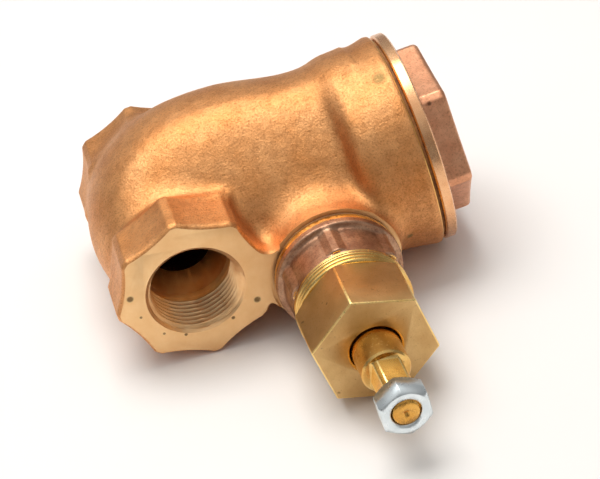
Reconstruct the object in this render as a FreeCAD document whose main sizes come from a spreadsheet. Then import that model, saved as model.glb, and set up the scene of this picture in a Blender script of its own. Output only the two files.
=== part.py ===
import FreeCAD, Part
import Sketcher
import os

# Pressure relief valve with threaded inlet and outlet ports, a spring loaded disc under a hexagon cap
# and a side spindle that lifts the disc by hand. Millimetres and degrees.
#
# Frame: the origin is the centre of the inlet port's face. +Y runs along the ports, from inlet to
# outlet. +X runs along the disc's axis, from the seat to the cap. +Z is up. The spindle is parallel to
# Y and comes out beside the inlet.

doc = FreeCAD.newDocument("PressureReliefValve")

DRIVING_SIZES = {
    # ports
    "face_to_face": 66,
    "port_radius": 12.1,
    "port_thread_length": 13,
    "port_groove_depth": 1.3,
    "port_groove_width": 3,
    "throat_radius": 9,
    "inlet_cone_length": 7.6,
    "outlet_cone_length": 3,
    "port_boss_wall": 9.9,
    "port_boss_corner_height": 0.8,
    "port_boss_length": 16,
    "port_neck_wall": 4.6,
    "port_neck_inset": 2,
    # body shell
    "dome_radius": 25,
    "bulge_radius": 28.5,
    "bulge_centre_x": 16,
    "bulge_centre_z": 2.4,
    "bulge_back_gap": 0.5,
    "barrel_radius": 29.3,
    "barrel_beyond_port": 39.9,
    "shoulder_length": 5,
    "lip_height": 1.7,
    "lip_length": 4,
    "flare_length": 6,
    "body_length": 70,
    "body_wall": 4.5,
    "chamber_floor_wall": 1.6,
    "inlet_chamber_radius": 10,
    "inlet_chamber_depth": 13,
    "outlet_passage_radius": 6,
    "outlet_passage_inset": 0.5,
    "outlet_passage_length": 28,
    # seat and disc
    "seat_bore_radius": 8,
    "seat_thread_radius": 12,
    "seat_flange_radius": 14.5,
    "seat_flange_thickness": 2.5,
    "seat_nose_radius": 9.5,
    "seat_nose_length": 1,
    "seat_disc_radius": 10.5,
    "seat_disc_thickness": 3,
    "disc_recess_depth": 2,
    "disc_radius": 13,
    "disc_thickness": 6.5,
    "disc_hub_radius": 5.5,
    "disc_hub_length": 2.5,
    "disc_washer_radius": 5,
    "disc_washer_thickness": 1,
    "disc_screw_radius": 2,
    "disc_screw_head_radius": 3.4,
    "disc_screw_head_length": 1.8,
    "disc_screw_reach": 2,
    # stem and spring
    "stem_radius": 3,
    "stem_grip": 4.5,
    "stem_into_bush": 2,
    "disc_lift": 5,
    "collar_radius": 9,
    "collar_thickness": 3,
    "jam_nut_flats": 10,
    "jam_nut_thickness": 2.5,
    "spring_plate_room": 3,
    "spring_plate_thickness": 2,
    "spring_plate_rim": 3,
    "spring_wire_radius": 1.25,
    "spring_pitch": 3.54,
    # cap
    "cap_gasket_thickness": 1,
    "cap_gasket_overhang": 0.1,
    "cap_flange_overhang": 1.2,
    "cap_flange_thickness": 3.3,
    "cap_thread_length": 12,
    "cap_wall": 5.8,
    "cap_hex_inset": 6,
    "cap_hex_corner_height": 0.8,
    "cap_hex_length": 8,
    "cap_end_wall": 5.4,
    "adjusting_ring_thickness": 4,
    "adjusting_ring_bore": 9,
    "adjusting_ring_room": 2.9,
    "bush_boss_radius": 8,
    "bush_boss_length": 4.75,
    "bush_radius": 5.5,
    "bush_length": 7,
    "stem_end_room": 1.5,
    # spindle boss, bonnet and packing
    "spindle_from_port_boss": 16,
    "spindle_drop": 10,
    "spindle_boss_radius": 18.6,
    "spindle_boss_height": 2.5,
    "spindle_boss_inner_gap": 11.8,
    "bonnet_thread_radius": 13,
    "bonnet_gasket_thickness": 0.8,
    "bonnet_gasket_radius": 17.5,
    "bonnet_flange_radius": 17.8,
    "bonnet_flange_thickness": 4.2,
    "bonnet_hex_radius": 17,
    "bonnet_hex_across_corners": 34.8,
    "bonnet_hex_length": 10.5,
    "bonnet_nose_radius": 16,
    "bonnet_nose_length": 1,
    "seal_ring_radius": 16,
    "seal_ring_thickness": 4.2,
    "nut_across_corners": 34.7,
    "nut_length": 18.4,
    "nut_bevel": 1.2,
    "nut_bevel_drop": 1.9,
    "nut_thread_radius": 12,
    "nut_thread_length": 10,
    "nut_bore_clearance": 0.45,
    "packing_section": 3.85,
    "gland_length": 4,
    "packing_ring_width": 2.5,
    "packing_washer_thickness": 1.5,
    "thrust_washer_radius": 10,
    "thrust_washer_thickness": 1,
    # spindle
    "spindle_radius": 6.6,
    "spindle_beyond_nut": 9.6,
    "square_width": 8,
    "square_length": 10.3,
    "square_corner_radius": 4.96,
    "stud_radius": 3.97,
    "stud_length": 7.1,
    "lever_nut_flats": 12.7,
    "lever_nut_thickness": 6.7,
    "spindle_collar_radius": 9.5,
    "spindle_collar_thickness": 2.5,
    "inner_shaft_radius": 4,
    "inner_shaft_stem_gap": 3.5,
    "finger_hub_radius": 6.5,
    "finger_hub_length": 5.5,
    "finger_hub_under_collar": 0.5,
    "finger_hub_gap": 4.5,
    "finger_tip_radius": 2,
    "finger_stem_gap": 1,
    "cross_pin_radius": 1,
    "cross_pin_inset": 0.3,
    # clearances
    "running_clearance": 0.05,
    "finger_clearance": 0.3,
}

PACKING_RINGS = 3
HEXAGON_CORNERS_OVER_FLATS = 1.1547
SQUARE_CORNERS_OVER_FLATS = 1.41421
NUT_ROUNDING_OVER_FLATS = 0.56
CAP_HEX_TURN = 36.7
NUT_HEX_TURN = 21
CORNER_UP = 30
SQUARE_TURN = 62.6
OUTLET_PASSAGE_TURN = -12

sheet = doc.addObject("Spreadsheet::Sheet", "Sizes")
for row, (alias, number) in enumerate(DRIVING_SIZES.items(), start=1):
    sheet.set(f"A{row}", alias)
    sheet.set(f"B{row}", str(number))
    sheet.setAlias(f"B{row}", alias)
doc.recompute()


class Size:
    """A length that follows the sheet: the expression that gives it, and its value now."""

    def __init__(self, text, value):
        self.text = text
        self.value = value

    def combine(self, sign, other, value):
        return Size(f"({self.text} {sign} {as_size(other).text})", value)

    def __add__(self, other):
        return self.combine("+", other, self.value + as_size(other).value)

    def __sub__(self, other):
        return self.combine("-", other, self.value - as_size(other).value)

    def __mul__(self, other):
        return self.combine("*", other, self.value * as_size(other).value)

    def __truediv__(self, other):
        return self.combine("/", other, self.value / as_size(other).value)


def as_size(value):
    return value if isinstance(value, Size) else Size(str(value), float(value))


def size(alias):
    return Size(f"Sizes.{alias}", float(DRIVING_SIZES[alias]))


ZERO = as_size(0)
V = FreeCAD.Vector
ALONG_X = FreeCAD.Rotation(V(0, 1, 0), 90)
ALONG_Y = FreeCAD.Rotation(V(1, 0, 0), -90)
SKETCH_X_TO_Y = FreeCAD.Rotation(V(0, 0, 1), 90)


def place(piece, position, rotation=None):
    """Turns a piece, then ties its three coordinates to the sheet."""
    piece.Placement = FreeCAD.Placement(V(0, 0, 0), rotation or FreeCAD.Rotation())
    for letter, coordinate in zip("xyz", position):
        piece.setExpression(f"Placement.Base.{letter}", as_size(coordinate).text)
    return piece


def primitive(kind, name, sizes, position, rotation):
    piece = doc.addObject(kind, name)
    for property_name, length in sizes.items():
        piece.setExpression(property_name, as_size(length).text)
    return place(piece, position, rotation)


def cylinder(name, radius, length, position, rotation):
    return primitive("Part::Cylinder", name, {"Radius": radius, "Height": length}, position, rotation)


def cone(name, first_radius, last_radius, length, position, rotation):
    lengths = {"Radius1": first_radius, "Radius2": last_radius, "Height": length}
    return primitive("Part::Cone", name, lengths, position, rotation)


def prism(name, sides, across_corners, length, position, rotation, turn=0):
    spin = FreeCAD.Rotation(V(0, 0, 1), turn)
    lengths = {"Circumradius": as_size(across_corners) / 2, "Height": length}
    piece = primitive("Part::Prism", name, lengths, position, rotation * spin)
    piece.Polygon = sides
    return piece


def fuse(name, pieces):
    result = doc.addObject("Part::MultiFuse", name)
    result.Shapes = pieces
    result.Refine = True
    return result


def cut(name, base, tool):
    result = doc.addObject("Part::Cut", name)
    result.Base = base
    result.Tool = tool
    return result


def common(name, first, second):
    result = doc.addObject("Part::MultiCommon", name)
    result.Shapes = [first, second]
    return result


def origin_plane(body, role):
    return [feature for feature in body.Origin.OriginFeatures if feature.Role == role][0]


def pin_coordinate(sketch, kind, line, length):
    """Holds the start point of a line at a distance from the origin, or on an axis when it is zero."""
    if length.value == 0:
        axis = -2 if kind == "DistanceX" else -1
        sketch.addConstraint(Sketcher.Constraint("PointOnObject", line, 1, axis))
        return
    index = sketch.addConstraint(Sketcher.Constraint(kind, -1, 1, line, 1, length.value))
    sketch.setExpression(f"Constraints[{index}]", length.text)


def turned(name, outline, position, rotation=None):
    """A turned piece: (along, out) corners from its own end face, revolved round its own X axis."""
    body = doc.addObject("PartDesign::Body", name)
    sketch = body.newObject("Sketcher::SketchObject", f"{name}_outline")
    sketch.AttachmentSupport = [(origin_plane(body, "XY_Plane"), "")]
    sketch.MapMode = "FlatFace"
    corners = [(as_size(along), as_size(out)) for along, out in outline]
    points = [V(along.value, out.value, 0) for along, out in corners]
    count = len(points)
    for k in range(count):
        sketch.addGeometry(Part.LineSegment(points[k], points[(k + 1) % count]), False)
    for k in range(count):
        sketch.addConstraint(Sketcher.Constraint("Coincident", k, 2, (k + 1) % count, 1))
    for k, (along, out) in enumerate(corners):
        pin_coordinate(sketch, "DistanceX", k, along)
        pin_coordinate(sketch, "DistanceY", k, out)
    doc.recompute()
    revolution = body.newObject("PartDesign::Revolution", f"{name}_turned")
    revolution.Profile = sketch
    revolution.ReferenceAxis = (sketch, ["H_Axis"])
    revolution.Angle = 360
    body.Tip = revolution
    return place(body, position, rotation)


def ring(name, bore, radius, length, position, rotation=None):
    outline = [(ZERO, bore), (length, bore), (length, radius), (ZERO, radius)]
    return turned(name, outline, position, rotation)


# ---- lines and faces that several pieces share ----

middle = size("face_to_face") / 2
inner_radius = size("dome_radius") - size("body_wall")
barrel_bore = size("barrel_radius") - size("body_wall")
lip_radius = size("barrel_radius") + size("lip_height")
port_groove_radius = size("port_radius") + size("port_groove_depth")
port_boss_radius = size("port_radius") + size("port_boss_wall")
barrel_start = size("port_radius") + size("barrel_beyond_port")
deck_floor = size("throat_radius")
deck_top = port_groove_radius + size("chamber_floor_wall")
deck_thickness = deck_top - deck_floor

seat_face = deck_top + size("seat_flange_thickness") + size("seat_nose_length")
seat_disc_back = seat_face + size("seat_disc_thickness")
disc_front = seat_disc_back - size("disc_recess_depth")
disc_back = disc_front + size("disc_thickness")
disc_top = disc_back + size("disc_hub_length")

cap_flange_radius = size("barrel_radius") + size("cap_flange_overhang")
cap_seat = size("body_length") + size("cap_gasket_thickness")
cap_hex_start = cap_seat + size("cap_flange_thickness")
cap_end = cap_hex_start + size("cap_hex_length")
cap_inside = cap_end - size("cap_end_wall")
cap_thread_start = cap_seat - size("cap_thread_length")
cap_hex_radius = cap_flange_radius - size("cap_hex_inset")
cap_recess = barrel_bore - size("cap_wall")
spring_plate_radius = cap_recess - size("spring_plate_room")
spring_mean_radius = spring_plate_radius - size("spring_plate_rim")
boss_start = cap_inside - size("bush_boss_length")
adjusting_ring_front = cap_inside - size("adjusting_ring_room") - size("adjusting_ring_thickness")
spring_end = adjusting_ring_front - size("spring_plate_thickness")

spindle_x = port_boss_radius + size("spindle_from_port_boss")
finger_tip_top = spindle_x + size("finger_tip_radius")
collar_front = finger_tip_top + size("finger_clearance")
jam_nut_front = collar_front + size("collar_thickness")
lower_plate_front = jam_nut_front + size("jam_nut_thickness")
spring_start = lower_plate_front + size("spring_plate_thickness")

spindle_z = ZERO - size("spindle_drop")
spindle_boss_face = middle - size("barrel_radius") - size("spindle_boss_height")
bonnet_seat = spindle_boss_face - size("bonnet_gasket_thickness")
bonnet_hex_start = bonnet_seat - size("bonnet_flange_thickness")
bonnet_nose_start = bonnet_hex_start - size("bonnet_hex_length")
bonnet_end = bonnet_nose_start - size("bonnet_nose_length")
nut_seat = bonnet_end - size("seal_ring_thickness")
nut_face = nut_seat - size("nut_length")
nut_thread_end = nut_seat + size("nut_thread_length")
packing_start = nut_thread_end + size("gland_length")
packing_end = packing_start + size("packing_ring_width") * PACKING_RINGS
stuffing_box_end = packing_end + size("packing_washer_thickness")
spindle_bore = size("spindle_radius") + size("running_clearance")
stuffing_box_radius = spindle_bore + size("packing_section")
finger_hub_end = middle - size("collar_radius") + size("finger_hub_under_collar")
finger_hub_start = finger_hub_end - size("finger_hub_length")
inner_shaft_start = finger_hub_start - size("finger_hub_gap")
spindle_collar_start = inner_shaft_start - size("spindle_collar_thickness")
bonnet_inside = spindle_collar_start - size("thrust_washer_thickness")
square_start = nut_face - size("spindle_beyond_nut")
stud_start = square_start - size("square_length")
stud_end = stud_start - size("stud_length")
inner_shaft_length = middle - size("stem_radius") - size("inner_shaft_stem_gap") - inner_shaft_start
finger_tip_length = middle - size("stem_radius") - size("finger_stem_gap") - finger_hub_start
finger_hub_middle = finger_hub_start + size("finger_hub_length") / 2


def on_disc_axis(along):
    return (along, middle, ZERO)


def on_spindle(along):
    return (spindle_x, along, spindle_z)


def on_ports(along):
    return (ZERO, along, ZERO)


# ---- body ----


def port_boss(name, start):
    """An octagonal boss with a corner up, its corners turned off round."""
    octagon = prism(
        f"{name}_octagon", 8, (port_boss_radius + size("port_boss_corner_height")) * 2,
        size("port_boss_length"), on_ports(start), ALONG_Y,
    )
    rounding = cylinder(
        f"{name}_rounding", port_boss_radius, size("port_boss_length"), on_ports(start), ALONG_Y
    )
    return common(name, octagon, rounding)


def port_cuts(name, face, inward, taper):
    """Thread bore, clearance groove and cone of one port, cut inwards from its face."""
    thread = size("port_thread_length")
    groove = size("port_groove_width")
    stages = [
        ("thread", size("port_radius"), size("port_radius"), ZERO, thread),
        ("groove", port_groove_radius, port_groove_radius, thread, groove),
        ("taper", size("port_radius"), size("throat_radius"), thread + groove, taper),
    ]
    cuts = []
    for stage, outer, inner, depth, length in stages:
        start = face + depth if inward > 0 else face - depth - length
        if stage in ("thread", "groove"):
            cuts.append(cylinder(f"{name}_{stage}", outer, length, on_ports(start), ALONG_Y))
        else:
            ends = (outer, inner) if inward > 0 else (inner, outer)
            cuts.append(cone(f"{name}_{stage}", ends[0], ends[1], length, on_ports(start), ALONG_Y))
    return cuts


def valve_body():
    """Cast body: a bulging chamber and a barrel across the ports, and a deck with the seat hole."""
    length = size("body_length")
    lip_start = length - size("lip_length")
    flare_start = lip_start - size("flare_length")
    shoulder_start = barrel_start - size("shoulder_length")
    barrel_length = flare_start - barrel_start
    outlet_face = size("face_to_face")
    inset = size("port_neck_inset")
    bulge_centre_y = outlet_face - size("bulge_back_gap") - size("bulge_radius")
    bulge_centre = (size("bulge_centre_x"), bulge_centre_y, size("bulge_centre_z"))
    outside = [
        primitive("Part::Sphere", "bulge", {"Radius": size("bulge_radius")}, bulge_centre, None),
        primitive("Part::Sphere", "dome", {"Radius": size("dome_radius")}, on_disc_axis(ZERO), None),
        cylinder("tube", size("dome_radius"), shoulder_start, on_disc_axis(ZERO), ALONG_X),
        cone(
            "shoulder", size("dome_radius"), size("barrel_radius"), size("shoulder_length"),
            on_disc_axis(shoulder_start), ALONG_X,
        ),
        cylinder("barrel", size("barrel_radius"), barrel_length, on_disc_axis(barrel_start), ALONG_X),
        cone(
            "flare", size("barrel_radius"), lip_radius, size("flare_length"),
            on_disc_axis(flare_start), ALONG_X,
        ),
        cylinder("lip", lip_radius, size("lip_length"), on_disc_axis(lip_start), ALONG_X),
        port_boss("inlet_boss", ZERO),
        port_boss("outlet_boss", outlet_face - size("port_boss_length")),
        cylinder(
            "port_neck", port_groove_radius + size("port_neck_wall"), outlet_face - inset * 2,
            on_ports(inset), ALONG_Y,
        ),
        cylinder(
            "spindle_boss", size("spindle_boss_radius"),
            middle - size("spindle_boss_inner_gap") - spindle_boss_face,
            on_spindle(spindle_boss_face), ALONG_Y,
        ),
    ]
    throat_start = size("port_thread_length") + size("port_groove_width") + size("inlet_cone_length")
    passage_turn = FreeCAD.Rotation(V(0, 0, 1), OUTLET_PASSAGE_TURN) * ALONG_X
    inlet_cuts = port_cuts("inlet", ZERO, 1, size("inlet_cone_length"))
    outlet_cuts = port_cuts("outlet", outlet_face, -1, size("outlet_cone_length"))
    inside = inlet_cuts + outlet_cuts + [
        cylinder(
            "inlet_throat", size("throat_radius"), middle - throat_start, on_ports(throat_start), ALONG_Y
        ),
        cylinder(
            "inlet_chamber", size("inlet_chamber_radius"), size("inlet_chamber_depth") + deck_floor,
            on_disc_axis(ZERO - size("inlet_chamber_depth")), ALONG_X,
        ),
        cylinder(
            "outlet_passage", size("outlet_passage_radius"), size("outlet_passage_length"),
            on_ports(middle + inner_radius - size("outlet_passage_inset")), passage_turn,
        ),
        cylinder(
            "seat_hole", size("seat_thread_radius"), deck_thickness, on_disc_axis(deck_floor), ALONG_X
        ),
        cylinder(
            "spring_chamber", inner_radius, barrel_start - deck_top, on_disc_axis(deck_top), ALONG_X
        ),
        cylinder(
            "barrel_bore", barrel_bore, length - barrel_start,
            on_disc_axis(barrel_start), ALONG_X,
        ),
        cylinder(
            "bonnet_hole", size("bonnet_thread_radius"), middle - spindle_boss_face,
            on_spindle(spindle_boss_face), ALONG_Y,
        ),
    ]
    return cut("body_casting", fuse("body_outside", outside), fuse("body_inside", inside))


# ---- seat and disc, on the disc axis ----


def seat_ring():
    bore = size("seat_bore_radius")
    flange_start = deck_thickness
    nose_start = flange_start + size("seat_flange_thickness")
    nose_end = nose_start + size("seat_nose_length")
    outline = [
        (ZERO, bore),
        (nose_end, bore),
        (nose_end, size("seat_nose_radius")),
        (nose_start, size("seat_nose_radius")),
        (nose_start, size("seat_flange_radius")),
        (flange_start, size("seat_flange_radius")),
        (flange_start, size("seat_thread_radius")),
        (ZERO, size("seat_thread_radius")),
    ]
    return turned("seat_ring_turning", outline, on_disc_axis(deck_floor))


def disc_holder():
    """A shallow cup for the seat disc, with a hub that takes the stem; a screw enters its other side."""
    recess = size("disc_recess_depth")
    screw_end = recess + size("disc_screw_reach")
    hub_start = size("disc_thickness")
    hub_end = hub_start + size("disc_hub_length")
    stem_hole = hub_end - size("stem_grip")
    outline = [
        (recess, size("disc_screw_radius")),
        (recess, size("seat_disc_radius")),
        (ZERO, size("seat_disc_radius")),
        (ZERO, size("disc_radius")),
        (hub_start, size("disc_radius")),
        (hub_start, size("disc_hub_radius")),
        (hub_end, size("disc_hub_radius")),
        (hub_end, size("stem_radius")),
        (stem_hole, size("stem_radius")),
        (stem_hole, ZERO),
        (screw_end, ZERO),
        (screw_end, size("disc_screw_radius")),
    ]
    return turned("disc_holder_turning", outline, on_disc_axis(disc_front))


def seat_disc():
    return ring(
        "seat_disc_ring", size("disc_screw_radius"), size("seat_disc_radius"), size("seat_disc_thickness"),
        on_disc_axis(seat_face),
    )


def disc_washer():
    return ring(
        "disc_washer_ring", size("disc_screw_radius"), size("disc_washer_radius"),
        size("disc_washer_thickness"), on_disc_axis(seat_face - size("disc_washer_thickness")),
    )


def disc_screw():
    head = size("disc_screw_head_length")
    clamped = size("disc_washer_thickness") + size("seat_disc_thickness")
    reach = head + clamped + size("disc_screw_reach")
    outline = [
        (ZERO, ZERO),
        (reach, ZERO),
        (reach, size("disc_screw_radius")),
        (head, size("disc_screw_radius")),
        (head, size("disc_screw_head_radius")),
        (ZERO, size("disc_screw_head_radius")),
    ]
    start = seat_face - size("disc_washer_thickness") - head
    return turned("disc_screw_turning", outline, on_disc_axis(start))


def lift_stem():
    start = disc_top - size("stem_grip")
    length = boss_start + size("stem_into_bush") - start
    return cylinder("lift_stem_rod", size("stem_radius"), length, on_disc_axis(start), ALONG_X)


def lift_collar():
    return ring(
        "lift_collar_ring", size("stem_radius"), size("collar_radius"), size("collar_thickness"),
        on_disc_axis(collar_front),
    )


def hexagon_nut(name, flats, bore, thickness, position, rotation, turn):
    across_corners = flats * HEXAGON_CORNERS_OVER_FLATS
    blank = prism(f"{name}_blank", 6, across_corners, thickness, position, rotation, turn)
    hole = cylinder(f"{name}_hole", bore, thickness, position, rotation)
    bevel = cylinder(f"{name}_bevel", flats * NUT_ROUNDING_OVER_FLATS, thickness, position, rotation)
    return cut(f"{name}_nut", common(f"{name}_rounded", blank, bevel), hole)


def jam_nut():
    return hexagon_nut(
        "jam", size("jam_nut_flats"), size("stem_radius"), size("jam_nut_thickness"),
        on_disc_axis(jam_nut_front), ALONG_X, CORNER_UP,
    )


def spring_plate(name, bore, start):
    return ring(name, bore, spring_plate_radius, size("spring_plate_thickness"), on_disc_axis(start))


def main_spring():
    """A round wire wound as an open ended helix that just touches both plates."""
    radius = spring_mean_radius
    wire = size("spring_wire_radius")
    travel = spring_end - spring_start - wire * 2
    helix = doc.addObject("Part::Helix", "spring_line")
    helix.setExpression("Radius", radius.text)
    helix.setExpression("Height", travel.text)
    helix.setExpression("Pitch", size("spring_pitch").text)
    section = doc.addObject("Part::Circle", "spring_wire")
    section.setExpression("Radius", wire.text)
    place(section, (radius, ZERO, ZERO), FreeCAD.Rotation(V(1, 0, 0), 90))
    doc.recompute()
    coil = doc.addObject("Part::Sweep", "spring_coil")
    coil.Sections = [section]
    coil.Spine = (helix, ["Edge1"])
    coil.Solid = True
    coil.Frenet = True
    return place(coil, on_disc_axis(spring_start + wire), ALONG_X)


# ---- cap, on the disc axis ----


def cap():
    """Threaded plug with a round flange and a cast hexagon, cored out for the spring and the stem's bush."""
    shank = cylinder(
        "cap_shank", barrel_bore, size("cap_thread_length"), on_disc_axis(cap_thread_start), ALONG_X
    )
    flange = cylinder(
        "cap_flange", cap_flange_radius, size("cap_flange_thickness"), on_disc_axis(cap_seat),
        ALONG_X,
    )
    hexagon = prism(
        "cap_hexagon", 6, (cap_hex_radius + size("cap_hex_corner_height")) * 2, size("cap_hex_length"),
        on_disc_axis(cap_hex_start), ALONG_X, CAP_HEX_TURN,
    )
    rounding = cylinder(
        "cap_rounding", cap_hex_radius, size("cap_hex_length"), on_disc_axis(cap_hex_start), ALONG_X
    )
    recess = cylinder(
        "cap_recess", cap_recess, cap_inside - cap_thread_start, on_disc_axis(cap_thread_start), ALONG_X
    )
    boss = cylinder(
        "cap_boss", size("bush_boss_radius"), cap_inside - boss_start, on_disc_axis(boss_start), ALONG_X
    )
    bush_hole_depth = size("stem_into_bush") + size("disc_lift") + size("stem_end_room")
    bush_hole = cylinder(
        "cap_bush_hole", size("bush_radius"), bush_hole_depth, on_disc_axis(boss_start), ALONG_X
    )
    outside = fuse("cap_outside", [shank, flange, common("cap_head", hexagon, rounding)])
    cored = cut("cap_cored", outside, recess)
    return cut("cap_bored", fuse("cap_with_boss", [cored, boss]), bush_hole)


def guide_bush():
    return ring(
        "guide_bush_ring", size("stem_radius") + size("running_clearance"), size("bush_radius"),
        size("bush_length"), on_disc_axis(boss_start),
    )


# ---- bonnet, packing and spindle, on the spindle axis ----


def spindle_ring(name, bore, radius, start, length):
    return ring(name, bore, radius, length, on_spindle(start), SKETCH_X_TO_Y)


def bonnet():
    """Round flange and hexagon that screw into the body and hold the packing round the spindle."""
    thread = cylinder(
        "bonnet_thread", size("bonnet_thread_radius"), bonnet_inside - bonnet_seat, on_spindle(bonnet_seat),
        ALONG_Y,
    )
    flange = cylinder(
        "bonnet_flange", size("bonnet_flange_radius"), size("bonnet_flange_thickness"),
        on_spindle(bonnet_hex_start), ALONG_Y,
    )
    hexagon = prism(
        "bonnet_hexagon", 6, size("bonnet_hex_across_corners"), size("bonnet_hex_length"),
        on_spindle(bonnet_nose_start), ALONG_Y, CORNER_UP,
    )
    rounding = cylinder(
        "bonnet_rounding", size("bonnet_hex_radius"), size("bonnet_hex_length"),
        on_spindle(bonnet_nose_start), ALONG_Y,
    )
    nose = cylinder(
        "bonnet_nose", size("bonnet_nose_radius"), size("bonnet_nose_length"), on_spindle(bonnet_end), ALONG_Y
    )
    outside = fuse(
        "bonnet_outside", [thread, flange, common("bonnet_hex_head", hexagon, rounding), nose]
    )
    nut_hole = cylinder(
        "bonnet_nut_hole", size("nut_thread_radius"), nut_thread_end - bonnet_end, on_spindle(bonnet_end),
        ALONG_Y,
    )
    box = cylinder(
        "stuffing_box", stuffing_box_radius, stuffing_box_end - nut_thread_end,
        on_spindle(nut_thread_end), ALONG_Y,
    )
    bore = cylinder(
        "bonnet_bore", spindle_bore, bonnet_inside - stuffing_box_end, on_spindle(stuffing_box_end), ALONG_Y
    )
    return cut("bonnet_casting", outside, fuse("bonnet_inside", [nut_hole, box, bore]))


def packing_nut():
    """Bevelled hexagon with a threaded spigot that presses the gland on the packing."""
    nut_radius = size("nut_across_corners") / 2
    hexagon = prism(
        "nut_hexagon", 6, size("nut_across_corners"), size("nut_length"), on_spindle(nut_face), ALONG_Y,
        NUT_HEX_TURN,
    )
    bevel = turned(
        "nut_bevelling",
        [
            (ZERO, ZERO),
            (size("nut_length"), ZERO),
            (size("nut_length"), nut_radius - size("nut_bevel_drop")),
            (size("nut_length") - size("nut_bevel"), nut_radius),
            (ZERO, nut_radius),
        ],
        on_spindle(nut_face),
        SKETCH_X_TO_Y,
    )
    spigot = cylinder(
        "nut_spigot", size("nut_thread_radius"), size("nut_thread_length"), on_spindle(nut_seat), ALONG_Y
    )
    bore = cylinder(
        "nut_bore", size("spindle_radius") + size("nut_bore_clearance"), nut_thread_end - nut_face,
        on_spindle(nut_face), ALONG_Y,
    )
    return cut("nut_bored", fuse("nut_outside", [common("nut_head", hexagon, bevel), spigot]), bore)


def seal_ring():
    return spindle_ring(
        "seal_ring_turning", size("nut_thread_radius"), size("seal_ring_radius"), nut_seat,
        size("seal_ring_thickness"),
    )


def bonnet_gasket():
    return spindle_ring(
        "bonnet_gasket_ring", size("bonnet_thread_radius"), size("bonnet_gasket_radius"), bonnet_seat,
        size("bonnet_gasket_thickness"),
    )


def cap_gasket():
    return ring(
        "cap_gasket_ring", barrel_bore, size("barrel_radius") + size("cap_gasket_overhang"),
        size("cap_gasket_thickness"), on_disc_axis(size("body_length")),
    )


def adjusting_ring():
    return ring(
        "adjusting_ring_turning", size("adjusting_ring_bore"), cap_recess, size("adjusting_ring_thickness"),
        on_disc_axis(adjusting_ring_front),
    )


def gland_follower():
    return spindle_ring(
        "gland_sleeve", spindle_bore, stuffing_box_radius, nut_thread_end, size("gland_length")
    )


def packing_ring(number):
    start = packing_start + size("packing_ring_width") * number
    return spindle_ring(
        f"packing_{number}", spindle_bore, stuffing_box_radius, start, size("packing_ring_width")
    )


def packing_washer():
    return spindle_ring(
        "packing_washer_ring", spindle_bore, stuffing_box_radius, packing_end,
        size("packing_washer_thickness"),
    )


def thrust_washer():
    return spindle_ring(
        "thrust_washer_ring", spindle_bore, size("thrust_washer_radius"), bonnet_inside,
        size("thrust_washer_thickness"),
    )


def cross_pin_hole(name):
    """The straight hole or pin across the finger's hub and the spindle, along the disc axis."""
    hub = size("finger_hub_radius") - size("cross_pin_inset")
    start = (spindle_x - hub, finger_hub_middle, spindle_z)
    return cylinder(name, size("cross_pin_radius"), hub * 2, start, ALONG_X)


def spindle():
    """Shaft with a square and a stud outside, and a collar and a thin shaft inside."""
    shaft = cylinder(
        "spindle_shaft", size("spindle_radius"), spindle_collar_start - square_start,
        on_spindle(square_start), ALONG_Y,
    )
    square = prism(
        "spindle_square", 4, size("square_width") * SQUARE_CORNERS_OVER_FLATS, size("square_length"),
        on_spindle(stud_start), ALONG_Y, SQUARE_TURN,
    )
    rounding = cylinder(
        "square_rounding", size("square_corner_radius"), size("square_length"), on_spindle(stud_start),
        ALONG_Y,
    )
    stud = cylinder("spindle_stud", size("stud_radius"), size("stud_length"), on_spindle(stud_end), ALONG_Y)
    collar = cylinder(
        "spindle_collar", size("spindle_collar_radius"), size("spindle_collar_thickness"),
        on_spindle(spindle_collar_start), ALONG_Y,
    )
    inner = cylinder(
        "spindle_inner", size("inner_shaft_radius"), inner_shaft_length,
        on_spindle(inner_shaft_start), ALONG_Y,
    )
    square_end = common("square_end", square, rounding)
    whole = fuse("spindle_whole", [shaft, square_end, stud, collar, inner])
    return cut("spindle_drilled", whole, cross_pin_hole("spindle_pin_hole"))


def lift_finger():
    """Hub on the spindle with an arm up to the disc axis, ending in a round nose under the collar."""
    hub = cylinder(
        "finger_hub", size("finger_hub_radius"), size("finger_hub_length"), on_spindle(finger_hub_start),
        ALONG_Y,
    )
    tip_radius = size("finger_tip_radius")
    arm = doc.addObject("Part::Box", "finger_arm")
    arm.setExpression("Length", (tip_radius * 2).text)
    arm.setExpression("Width", size("finger_hub_length").text)
    arm.setExpression("Height", size("spindle_drop").text)
    place(arm, (spindle_x - tip_radius, finger_hub_start, spindle_z))
    tip = cylinder(
        "finger_tip", tip_radius, finger_tip_length, (spindle_x, finger_hub_start, ZERO),
        ALONG_Y,
    )
    shaft_hole = cylinder(
        "finger_shaft_hole", size("inner_shaft_radius"), size("finger_hub_length"),
        on_spindle(finger_hub_start), ALONG_Y,
    )
    holes = fuse("finger_holes", [shaft_hole, cross_pin_hole("finger_pin_hole")])
    return cut("finger_drilled", fuse("finger_outside", [hub, arm, tip]), holes)


def lever_nut():
    return hexagon_nut(
        "lever", size("lever_nut_flats"), size("stud_radius"), size("lever_nut_thickness"),
        on_spindle(stud_end), ALONG_Y, CORNER_UP,
    )


# ---- the named pieces ----

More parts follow.
